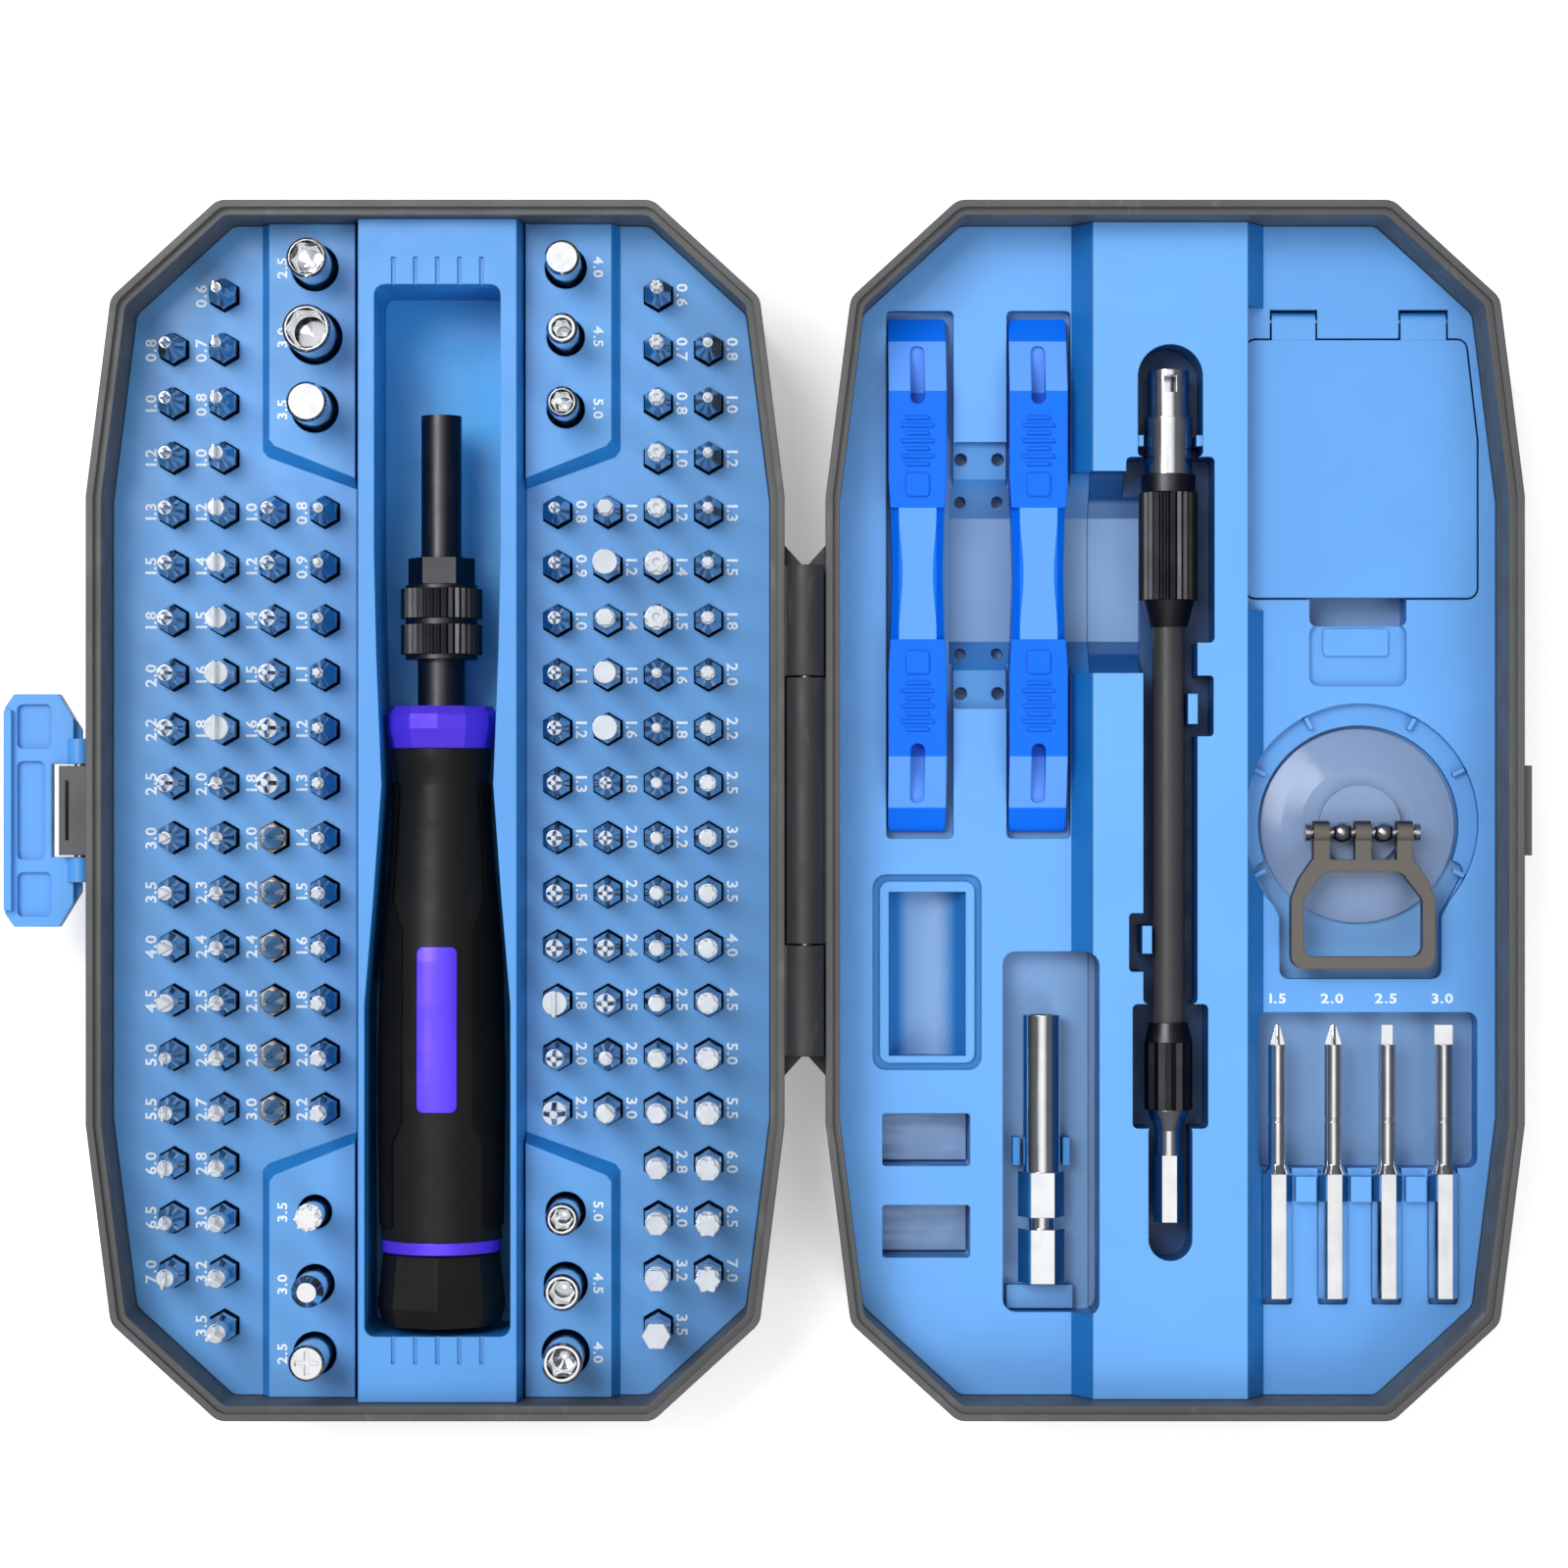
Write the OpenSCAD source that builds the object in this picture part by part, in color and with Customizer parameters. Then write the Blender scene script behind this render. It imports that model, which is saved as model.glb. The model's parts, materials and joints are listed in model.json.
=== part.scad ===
// Precision screwdriver set in a folding two-half case, open flat.
// The base half (left) holds the bits and the driver, the lid half (right) the accessories.
// +X runs from base to lid, +Y along the hinge, +Z up. The case stands on Z = 0.

/* [Case] */
// Width of each half shell, across the hinge
shell_w = 107; // [107:1:112]
// Length of each half shell, along the hinge
shell_l = 187; // [187:1:192]
// Depth of each half shell
shell_h = 27; // [27:1:30]
// Wall thickness of the shells
wall = 2.2; // [2:0.1:2.3]
// Space between the two half shells when open
hinge_gap = 6.3; // [6.3:0.1:7]
// Gap between the two rims when closed
rim_gap = 0.3; // [0.2:0.1:0.5]

/* [Trays] */
// Depth of the bit fields below the rim
field_depth = 12; // [11.5:0.1:12]
// Depth of the nut socket panels below the rim
panel_depth = 9.5; // [9:0.1:10]
// Depth of the driver ridge below the rim
ridge_depth = 4; // [3.5:0.1:5]
// Depth of the driver trough below the rim
trough_depth = 23; // [22.5:0.1:24]
// Depth of the lid's central strip below the rim
strip_depth = 7.3; // [7:0.1:8]

/* [Bits] */
// Width across flats of a bit
bit_af = 4; // [3.9:0.01:4]
// Length of a bit
bit_len = 25; // [24:0.5:25]
// Depth of a bit pocket
pocket_depth = 12; // [11:0.5:12]
// Distance between bit columns
col_pitch = 7.85; // [7.6:0.05:7.85]
// Distance between bit rows
row_pitch = 8.46; // [8.3:0.02:8.46]

/* [Driver] */
// Largest radius of the handle
handle_r = 9.6; // [9:0.1:9.8]
// Radius of the handle at its waist
waist_r = 7.3; // [7:0.1:7.6]
// Radius of the shaft
shaft_r = 3.15; // [3:0.05:3.3]

/* [Extension rod] */
// Radius of the flexible shaft
rod_r = 2.5; // [2.2:0.1:2.5]
// Radius of the fluted grip
rod_grip_r = 4.55; // [4.3:0.05:4.6]

/* [Accessories] */
// Length of a pry tool
pry_len = 80; // [76:1:81]
// Width of a pry tool at its ends
pry_w = 9; // [8.6:0.1:9.2]
// Thickness of a pry tool
pry_h = 5.6; // [4.5:0.1:5.6]
// Radius of the suction cup
cup_r = 15.2; // [14:0.1:15.3]
// Width across flats of the bit adapter
adapter_af = 6.35; // [6.3:0.05:6.4]

/* [Hidden] */

$fn = 48;
eps = 0.05;
// Clearance left round a seated piece
fit = 0.1;
// Clearance kept between pieces that move apart
play = 0.3;

/* Frame */
latch_out = 13.6;
catch_out = 1.4;
hinge_x = (latch_out - catch_out) / 2;
base_x = hinge_x - (hinge_gap + shell_w) / 2;
lid_x = hinge_x + (hinge_gap + shell_w) / 2;
hinge_z = shell_h + rim_gap / 2;
floor_z = wall + fit;
field_z = shell_h - field_depth;
strip_z = shell_h - strip_depth;

/* Shell outline: an oblong with cut corners, symmetric about both axes */
half_w = shell_w / 2;
half_l = shell_l / 2;
// Height of the rim's lip, and how far it stands out from the wall below it
shell_lip = 4;
shell_groove = 0.5;
quarter = [[half_w, half_l - 45.4], [half_w - 3.8, half_l - 15], [half_w - 20.2, half_l]];
outline = [
    for (p = quarter) p,
    for (i = [2:-1:0]) [-quarter[i].x, quarter[i].y],
    for (p = quarter) -p,
    for (i = [2:-1:0]) [quarter[i].x, -quarter[i].y],
];

/* Base */
ridge_half = 13.2;
ridge_slope = 1;
trough_half = 81.1;
driver_z = shell_h - 12;
panel_x = 26.6;
panel_y = 57.7;
first_col = 18.15;
pocket_af = bit_af + 0.6;
nut_x = 19.5;
nut_y = [84.4, 73.6, 62.4];

/* Tips down each bit column, as [kind, how many, first radius, last radius] */
tips_a = [["phillips", 9, 0.8, 1.3], ["triangle", 4, 0.9, 1.3], ["fork", 3, 0.9, 1.2],
    ["tri_wing", 1, 1, 1], ["fork", 1, 1.3, 1.3]];
tips_b = [["flat", 4, 0.6, 1], ["flat", 5, 1.2, 1.9], ["tri_wing", 11, 0.9, 1.4]];
tips_c = [["phillips", 6, 0.9, 1.6], ["awl", 6, 0.2, 0.35]];
tips_d = [["pentalobe", 12, 0.5, 1.2]];
tips_e = [["pozi", 9, 0.8, 1.3], ["flat", 1, 2, 2], ["phillips", 2, 1.3, 1.8]];
tips_f = [["hex", 1, 1.2, 1.2], ["round", 1, 1.9, 1.9], ["hex", 1, 1.4, 1.4],
    ["round", 2, 1.7, 1.9], ["pozi", 5, 0.9, 1.4], ["square", 2, 1, 1.4]];
tips_g = [["star_hole", 5, 0.9, 1.4], ["star_hole", 2, 1.8, 1.9], ["hex", 12, 0.6, 1.8],
    ["hex", 1, 2.2, 2.2]];
tips_h = [["star", 18, 0.5, 2]];

/* Lid */
wedge_w = 3;
strip_half = 12;
pry_x = [-39.1, -20.3];
pry_y = 36.8;
// Sides of each pry tool's pocket, from the middle of the tool
pry_pocket = [[-4.8, 5.7], [-4.8, 5.2]];
pry_floor = 14.5;
rod_depth = 10.6;
cup_at = [30, -2.4];
seat_at = [30, -1.9];
cup_floor = 15;
handle_y = -3.4;
handle_depth = 9.2;
door_hinge_y = 76.4;
door_hinge_depth = field_depth + 1.3;
door_t = 2;
door_barrel = 1.45;
// Seat of the loop, running down from the round seat of the cup
loop_seat = [[17.5, -16.5], [17.5, -26.3], [42.8, -26.3], [42.8, -16.5], [47, -8.7], [30, -2], [13.4, -8.7]];
adapter_x = -19.6;
adapter_depth = 12.9;
adapter_floor = adapter_depth + 3.3;
magnet_y = [-69.8, -55.5];
magnet_depth = 22;
long_bit_x = [17.1, 25.8, 34.2, 43];
long_bit_depth = 11.5;
long_slot_floor = long_bit_depth + bit_af / 2 + fit;

/* Latch: the pivot stands out from the base wall */
pivot_out = 2.1;
pivot_z = shell_h - 7;
pivot_x = base_x - half_w - pivot_out;
latch_pin_r = 0.9;
catch_depth = 1.6;
catch_h = 1.1;

/* Outline tools */
function edge_normal(a, b) = [a.y - b.y, b.x - a.x] / norm(b - a);
function inset(points, t) = let (n = len(points)) [
    for (i = [0:n - 1])
        let (
            p = points[i],
            m = edge_normal(points[(i + n - 1) % n], p),
            k = edge_normal(p, points[(i + 1) % n])
        )
        p + t * (m + k) / (1 + m * k)
];
function corner_arc(a, p, b, r, steps) =
    let (
        m = edge_normal(a, p),
        k = edge_normal(p, b),
        turn = cross(p - a, b - p) > 0 ? 1 : -1,
        centre = p + turn * r * (m + k) / (1 + m * k),
        start = atan2(-turn * m.y, -turn * m.x),
        sweep = turn * acos(max(-1, min(1, m * k)))
    )
    [for (i = [0:steps]) centre + r * [cos(start + sweep * i / steps), sin(start + sweep * i / steps)]];
function rounded(points, r, steps = 4) = let (n = len(points)) [
    for (i = [0:n - 1])
        each corner_arc(points[(i + n - 1) % n], points[i], points[(i + 1) % n], r, steps)
];
function box_points(x0, x1, y0, y1) = [[x0, y0], [x1, y0], [x1, y1], [x0, y1]];
function blend(a, b, t) = a + (b - a) * (1 - cos(180 * t)) / 2;
function blended(stations, steps = 5) = [
    for (i = [0:len(stations) - 2], k = [0:steps - 1])
        let (a = stations[i], b = stations[i + 1])
        [blend(a[1], b[1], k / steps), a[0] + (b[0] - a[0]) * k / steps],
    [stations[len(stations) - 1][1], stations[len(stations) - 1][0]],
];
function toothed(teeth, r, depth) = [
    for (i = [0:2 * teeth - 1])
        (r - (i % 2) * depth) * [cos(180 * i / teeth), sin(180 * i / teeth)]
];
function lobed(lobes, r, depth) = [
    for (i = [0:4 * lobes - 1])
        let (a = 90 * i / lobes)
        (r - depth * (1 - cos(lobes * a)) / 2) * [cos(a), sin(a)]
];
function expand(groups) = [
    for (g = groups, i = [0:g[1] - 1])
        [g[0], g[2] + (g[3] - g[2]) * i / max(1, g[1] - 1)]
];

/* Placing */
module in_base() { translate([base_x, 0, 0]) children(); }
module in_lid() { translate([lid_x, 0, 0]) children(); }
// Children stand on local Z, which becomes +Y at the given x and height
module along_y(x, z) { translate([x, 0, z]) rotate([-90, 0, 0]) children(); }
// Children stand on local Z, which becomes +X
module along_x(y, z) { translate([0, y, z]) rotate([90, 0, 90]) children(); }
// A block by its corners, cut down from the rim to a depth
module pit(x0, x1, y0, y1, depth, r = 1.2) {
    translate([0, 0, shell_h - depth])
        linear_extrude(depth + 1) polygon(rounded(box_points(x0, x1, y0, y1), r));
}
module block(x0, x1, y0, y1, z0, z1) {
    translate([x0, y0, z0]) cube([x1 - x0, y1 - y0, z1 - z0]);
}
module hex_prism(af, h) { cylinder(h = h, r = af / sqrt(3), $fn = 6); }
module tube(r, bore, z0, z1) {
    translate([0, 0, z0]) difference() {
        cylinder(h = z1 - z0, r = r);
        translate([0, 0, -1]) cylinder(h = z1 - z0 + 2, r = bore);
    }
}

/* Shells */
module half_shell() {
    chamfer = 2.4;
    wall_outline = rounded(inset(outline, shell_groove), 3);
    difference() {
        union() {
            hull() {
                linear_extrude(0.01) polygon(rounded(inset(outline, chamfer + shell_groove), 3));
                translate([0, 0, chamfer]) linear_extrude(0.01) polygon(wall_outline);
            }
            translate([0, 0, chamfer]) linear_extrude(shell_h - shell_lip - chamfer)
                polygon(wall_outline);
            translate([0, 0, shell_h - shell_lip])
                linear_extrude(shell_lip) polygon(rounded(outline, 3));
        }
        translate([0, 0, wall]) linear_extrude(shell_h) polygon(rounded(inset(outline, wall), 2));
        // step inside the rim
        translate([0, 0, shell_h - 1]) linear_extrude(2) polygon(rounded(inset(outline, wall / 2), 2.5));
    }
}
module base_shell() { color("dimgray") in_base() half_shell(); }
module lid_shell() { color("dimgray") in_lid() half_shell(); }
// The part of the tray outline between two x values
module tray_slice(x0, x1) {
    intersection() {
        polygon(rounded(inset(outline, wall + fit), 2));
        polygon(box_points(x0, x1, -half_l, half_l));
    }
}

/* Base trays */
module trough_outline() {
    right = [[9.75, trough_half], [9.75, 40], [9.4, 24], [8.6, 4], [9.9, -14], [11.25, -30],
        [11.25, -trough_half]];
    polygon(rounded(concat([for (p = right) [-p.x, p.y]],
        [for (i = [len(right) - 1:-1:0]) right[i]]), 1.6));
}
module driver_cradle() {
    ridge_z = shell_h - ridge_depth;
    top_half = ridge_half - ridge_slope;
    ridge_section = [[-ridge_half, 0], [ridge_half, 0], [ridge_half, field_z], [top_half, ridge_z],
        [-top_half, ridge_z], [-ridge_half, field_z]];
    rib_y = half_l - wall - 9;
    color("cornflowerblue") in_base() {
        difference() {
            intersection() {
                translate([0, 0, floor_z]) linear_extrude(ridge_z - floor_z)
                    tray_slice(-ridge_half, ridge_half);
                translate([0, half_l, 0]) rotate([90, 0, 0]) linear_extrude(shell_l) polygon(ridge_section);
            }
            translate([0, 0, shell_h - trough_depth]) linear_extrude(trough_depth) trough_outline();
            // shallow grip grooves at both ends of the ridge
            for (side = [-1, 1], i = [-2:2])
                block(i * 3.4 - 0.3, i * 3.4 + 0.3, side * rib_y - 3, side * rib_y + 3,
                    ridge_z - 0.4, ridge_z + 1);
        }
    }
}
function column_x(c) = (c < 4 ? -1 : 1) * (first_col + col_pitch * (c < 4 ? 3 - c : c - 4));
function row_y(r) = row_pitch * (9.5 - r);
function first_row(c) = c == 0 || c == 7 ? 1 : c == 1 || c == 6 ? 0 : 4;
function row_count(c) = 20 - 2 * first_row(c);
// Outline of a raised socket panel, grown by g at the foot of its slope
function panel(side, end, g) = let (y = panel_y - g * 1.2, x = panel_x + g) [
    for (p = [[ridge_half + eps, half_l], [x, half_l], [x, y], [x - 0.8, y - 1], [ridge_half + 1.6, y - 5],
        [ridge_half + eps, y - 6]])
        [side * p.x, end * p.y]
];
module panel_slice(x0, x1, side, end, g) {
    linear_extrude(0.01) intersection() {
        tray_slice(x0, x1);
        polygon(panel(side, end, g));
    }
}
module bit_rack(side) {
    x0 = side < 0 ? -half_w : ridge_half + eps;
    x1 = side < 0 ? -ridge_half - eps : half_w;
    columns = side < 0 ? [0:3] : [4:7];
    difference() {
        union() {
            translate([0, 0, floor_z]) linear_extrude(field_z - floor_z) tray_slice(x0, x1);
            for (end = [-1, 1]) translate([0, 0, field_z - 0.01]) hull() {
                panel_slice(x0, x1, side, end, 1.3);
                translate([0, 0, field_depth - panel_depth]) panel_slice(x0, x1, side, end, 0);
            }
        }
        for (c = columns, r = [first_row(c):first_row(c) + row_count(c) - 1])
            translate([column_x(c), row_y(r), field_z - pocket_depth])
                rotate([0, 0, 30]) hex_prism(pocket_af, pocket_depth + 1);
        for (end = [-1, 1], i = [0:2])
            translate([side * nut_x, end * nut_y[i], field_z - pocket_depth])
                cylinder(h = shell_h, r = nut_hole(side, end, i));
    }
}
module bit_rack_left() { color("cornflowerblue") in_base() bit_rack(-1); }
module bit_rack_right() { color("cornflowerblue") in_base() bit_rack(1); }

/* Bits */
tip_h = 3.2;
// Overlap that joins the pieces of one bit
lap = 0.2;
// Radius of a bit's neck behind a tip of radius r
function neck_r(r) = max(0.8, min(1.9, r + 0.1));
module blade(r, thick, h) {
    translate([-r, -thick / 2, 0]) cube([2 * r, thick, h]);
}
// A tip of one kind and radius r, standing on z = 0
module bit_tip(kind, r) {
    h = tip_h;
    if (kind == "phillips" || kind == "pozi") {
        intersection() {
            cylinder(h = h, r1 = r, r2 = 0.35 * r, $fn = 24);
            union() {
                for (a = [0, 90]) rotate([0, 0, a]) blade(r, 0.42 * r, h);
                if (kind == "pozi") rotate([0, 0, 45]) {
                    blade(0.6 * r, 0.2 * r, h);
                    rotate([0, 0, 90]) blade(0.6 * r, 0.2 * r, h);
                }
            }
        }
    } else if (kind == "flat") {
        rotate([0, 0, 90]) blade(r, max(0.35, 0.3 * r), h);
    } else if (kind == "fork") {
        rotate([0, 0, 90]) difference() {
            blade(r, 0.5, h);
            translate([-0.3 * r, -1, h / 2]) cube([0.6 * r, 2, h]);
        }
    } else if (kind == "tri_wing") {
        for (a = [90, 210, 330]) rotate([0, 0, a]) translate([0, -0.2 * r, 0]) cube([r, 0.4 * r, h]);
    } else if (kind == "star" || kind == "star_hole") {
        difference() {
            linear_extrude(h) polygon(lobed(6, r, 0.28 * r));
            if (kind == "star_hole") translate([0, 0, h / 2]) cylinder(h = h, r = 0.3 * r, $fn = 16);
        }
    } else if (kind == "pentalobe") {
        linear_extrude(h) polygon(lobed(5, r, 0.28 * r));
    } else {
        sides = kind == "triangle" ? 3 : kind == "square" ? 4 : kind == "hex" ? 6 : 24;
        cylinder(h = h, r = r, $fn = sides);
    }
}
module bit(kind, r) {
    hex_h = 15.2;
    cone_h = 2.4;
    cone_top = hex_h + cone_h;
    corner_r = bit_af / sqrt(3);
    tip_z = bit_len - tip_h;
    union() {
        if (kind == "awl") {
            rotate([0, 0, 30]) hex_prism(bit_af, hex_h);
            translate([0, 0, hex_h - lap])
                cylinder(h = bit_len - hex_h + lap, r1 = bit_af / 2 - 0.05, r2 = r, $fn = 24);
        } else {
            // hex with its corners turned down to the neck
            intersection() {
                rotate([0, 0, 30]) hex_prism(bit_af, cone_top);
                cylinder(h = cone_top, r1 = neck_r(r) + (corner_r - neck_r(r)) * cone_top / cone_h,
                    r2 = neck_r(r), $fn = 24);
            }
            translate([0, 0, cone_top - lap])
                cylinder(h = tip_z - cone_top + 2 * lap, r = neck_r(r) - 0.02, $fn = 24);
            translate([0, 0, tip_z]) bit_tip(kind, r);
        }
    }
}
module bit_column(c, groups) {
    tips = expand(groups);
    color("lightsteelblue") in_base() for (i = [0:len(tips) - 1])
        translate([column_x(c), row_y(first_row(c) + i), field_z - pocket_depth])
            bit(tips[i][0], tips[i][1]);
}

/* Nut sockets and large bits, as [kind, outer radius, opening across flats], from the hinge-end out */
function nut_set(side, end) =
    side < 0 && end > 0 ? [["hex", 3.1, 4.5], ["hex", 3.7, 5.5], ["cap", 3.1, 0]] :
    side > 0 && end > 0 ? [["cap", 2.7, 0], ["hex", 2.4, 2.5], ["hex", 2.4, 3]] :
    side < 0 ? [["cross", 2.8, 0], ["dome", 2.5, 0], ["tooth", 2.1, 0]] :
    [["hex", 3.15, 4], ["hex", 2.85, 3.5], ["hex", 2.55, 3]];
function nut_hole(side, end, i) = nut_set(side, end)[i][1] + 0.6;
nut_h = 26;
module nut(kind, r, af) {
    difference() {
        if (kind == "tooth") {
            cylinder(h = nut_h - 3, r = r);
            translate([0, 0, nut_h - 3]) linear_extrude(3) polygon(toothed(8, r, 0.7));
        } else if (kind == "dome") {
            cylinder(h = nut_h - 1.5, r = r);
            translate([0, 0, nut_h - 1.5]) cylinder(h = 1.5, r1 = r, r2 = 0.6 * r);
        } else {
            cylinder(h = nut_h - 0.5, r = r);
            translate([0, 0, nut_h - 0.5]) cylinder(h = 0.5, r1 = r, r2 = r - 0.4);
        }
        if (kind == "hex") {
            translate([0, 0, nut_h - 6]) hex_prism(af, 7);
            translate([0, 0, nut_h - 8]) cylinder(h = 2.05, r1 = 0.4, r2 = af / 2 - 0.2);
            translate([0, 0, nut_h - 0.5]) cylinder(h = 1, r1 = af / 2, r2 = af / 2 + 0.7);
        }
        if (kind == "cross") for (a = [0, 90]) rotate([0, 0, a])
            translate([-0.65 * r, -0.35, nut_h - 1.2]) cube([1.3 * r, 0.7, 2]);
    }
}
module nut_group(side, end) {
    color("silver") in_base() for (i = [0:2])
        let (n = nut_set(side, end)[i])
        translate([side * nut_x, end * nut_y[i], field_z - pocket_depth]) nut(n[0], n[1], n[2]);
}

/* Case hinge: the base carries the outer knuckles, the lid the middle one */
knuckle_r = 2.85;
hinge_half = 40.8;
middle_half = 20.3;
pin_r = 1;
// A leaf on the base side, mirrored for the lid; knuckles is a list of [from, to] along Y
module hinge_leaf(knuckles, bore) {
    leaf_low = 8;
    leaf_top = hinge_z - knuckle_r - 0.4;
    v = 3.3;
    wing = [[-hinge_gap / 2, -hinge_half], [-0.2, -hinge_half + v], [-0.2, hinge_half - v],
        [-hinge_gap / 2, hinge_half]];
    translate([0, 0, leaf_low]) linear_extrude(leaf_top - leaf_low) polygon(wing);
    // back of the leaf, which meets the wall below the rim's lip
    block(-hinge_gap / 2 - shell_groove, -hinge_gap / 2 + 0.1, -hinge_half + 0.2, hinge_half - 0.2,
        leaf_low, shell_h - shell_lip);
    difference() {
        for (k = knuckles) {
            along_y(0, hinge_z) translate([0, 0, k[0]]) cylinder(h = k[1] - k[0], r = knuckle_r);
            block(-hinge_gap / 2, -0.2, k[0], k[1], leaf_top - 0.01, hinge_z - rim_gap / 2);
        }
        along_y(0, hinge_z) translate([0, 0, -hinge_half]) cylinder(h = 2 * hinge_half, r = bore);
    }
}
module base_hinge_leaf() {
    end = hinge_half - 3.3;
    color("#151515") translate([hinge_x, 0, 0])
        hinge_leaf([[-end, -middle_half - play], [middle_half + play, end]], pin_r + 0.03);
}
module lid_hinge_leaf() {
    color("#151515") translate([hinge_x, 0, 0]) mirror([1, 0, 0])
        hinge_leaf([[-middle_half, middle_half]], pin_r + 0.08);
}
module hinge_pin() {
    length = 2 * (hinge_half - 3.3);
    color("silver") along_y(hinge_x, hinge_z) translate([0, 0, -length / 2])
        cylinder(h = length, r = pin_r);
}

/* Latch */
module latch_bracket() {
    color("dimgray") difference() {
        block(pivot_x - 2.8, pivot_x + pivot_out + shell_groove, -6.9, 6.9, pivot_z - 2.5, pivot_z + 2.5);
        along_y(pivot_x, pivot_z) translate([0, 0, -10]) cylinder(h = 20, r = latch_pin_r + 0.03);
        // hollow behind the front bar
        block(pivot_x - 1.8, pivot_x - 1.3, -4.6, 4.6, pivot_z - 3, pivot_z + 3);
    }
}
module latch_pin() {
    color("silver") along_y(pivot_x, pivot_z) translate([0, 0, -11])
        cylinder(h = 22, r = latch_pin_r);
}
// The clip points away from the case; its inside faces up
module latch_clip() {
    tip = latch_out - pivot_out;
    arm = 11.1;
    slot = 7.2;
    // outline from the pivot outward, one side
    side = [[tip, 0], [tip, 16], [tip - 1.4, 18], [3.15, 18], [-0.1, 12.6], [-0.1, slot], [4.3, slot],
        [4.3, 0]];
    outer = concat(side, [for (i = [len(side) - 1:-1:0]) if (side[i].y > 0) [side[i].x, -side[i].y]]);
    color("lightskyblue") translate([pivot_x, 0, pivot_z]) mirror([1, 0, 0]) difference() {
        union() {
            translate([0, 0, -2.2]) linear_extrude(2.6) polygon(outer);
            for (y = [-arm, slot]) translate([0, y, 0]) rotate([-90, 0, 0])
                cylinder(h = arm - slot, r = 1.8);
            // hook that passes over the catch, between the two lobes
            block(tip - 1.2, tip, -15.5, 15.5, 0.3, 1.7);
        }
        for (y = [-13, 13]) translate([0, 0, -0.6]) linear_extrude(4)
            polygon(rounded(box_points(4.4, tip - 1.9, y - 3.4, y + 3.4), 0.8));
        translate([0, 0, -0.6]) linear_extrude(4)
            polygon(rounded(box_points(5.4, tip - 1.9, -7.6, 7.6), 0.8));
        translate([0, -20, 0]) rotate([-90, 0, 0]) cylinder(h = 40, r = latch_pin_r + 0.06);
    }
}
module lid_catch() {
    color("dimgray") block(lid_x + half_w, lid_x + half_w + catch_out, -6.9, 6.9,
        shell_h - catch_depth - catch_h, shell_h - catch_depth);
}

/* Lid trays */
// The slope between a field and the raised strip
module wedge(side) {
    points = [[side * (strip_half + eps), field_z], [side * (strip_half + wedge_w), field_z],
        [side * (strip_half + eps), strip_z]];
    length = shell_l - 2 * (wall + fit);
    translate([0, length / 2, 0]) rotate([90, 0, 0]) linear_extrude(length) polygon(points);
}
module lid_field(side) {
    x0 = side < 0 ? -half_w : strip_half + eps;
    x1 = side < 0 ? -strip_half - eps : half_w;
    translate([0, 0, floor_z]) linear_extrude(field_z - floor_z) tray_slice(x0, x1);
    wedge(side);
}
finger_floor = 18;
module finger_trough() {
    z = shell_h - finger_floor;
    pit(-34, -22, 15.9, 57.5, field_depth + 1.6);
    // floor with a ramp at each end
    translate([-34, 0, 0]) rotate([90, 0, 90]) linear_extrude(30)
        polygon([[21.3, shell_h], [21.3, field_z - 1], [26.6, z], [46, z], [52.6, field_z - 1],
            [52.6, shell_h]]);
}
module adapter_recess() { pit(-25.7, -11, -78.3, -22, adapter_floor, 2); }
module lid_tray_left() {
    recess_z = shell_h - adapter_floor - eps;
    color("cornflowerblue") in_lid() {
        // clip nubs and end stop of the adapter
        for (x = [adapter_x - 3.9, adapter_x + 3.9])
            block(x - 0.55, x + 0.55, -55.5, -51.1, recess_z, field_z - 1);
        block(-25, -14.6, -78, -74.3, recess_z, field_z - 2.4);
        tray_left_body();
    }
}
module tray_left_body() {
    dish_x = -37.5;
    difference() {
        lid_field(-1);
        // groove round the screw dish
        translate([0, 0, field_z - 0.8]) linear_extrude(2) difference() {
            polygon(rounded(box_points(-46, -29, -40.5, -10), 2));
            polygon(rounded(box_points(-44.9, -30.1, -39.4, -11.1), 1.5));
        }
        for (i = [0, 1])
            pit(pry_x[i] + pry_pocket[i][0], pry_x[i] + pry_pocket[i][1], pry_y - pry_len / 2 - 1.2,
                pry_y + pry_len / 2 + 1.2, pry_floor, 0.8);
        finger_trough();
        adapter_recess();
        // small clip holes beside the pry tools
        for (x = [-32.2, -26.4]) {
            for (y = [54.9, 18.3]) translate([x, y, field_z - 5]) cylinder(h = 5, r = 1);
            for (y = [48.4, 24.6]) translate([x, y, shell_h - finger_floor - 1])
                cylinder(h = 8, r = 0.9);
        }
        // concave screw dish
        translate([0, -38.3, 0]) along_y(dish_x, shell_h - 11) cylinder(h = 25.6, r = 6.1);
        // magnetiser windows
        for (y = magnet_y) pit(-44.5, -30.8, y, y + 8.2, magnet_depth, 0.5);
    }
}
module magnet_plates() {
    color("lightslategray") in_lid() for (y = magnet_y)
        block(-44.3, -31, y + 0.2, y + 8, shell_h - magnet_depth, shell_h - magnet_depth + 1.2);
}
// Rod recess as [y top, y bottom, half width]
rod_recess = [[67.2, 54.8, 5.05], [54.8, 26, 6.85], [26.5, -30, 4.2], [-30, -49.3, 5.85],
    [-49, -66.4, 3.4]];
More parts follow.
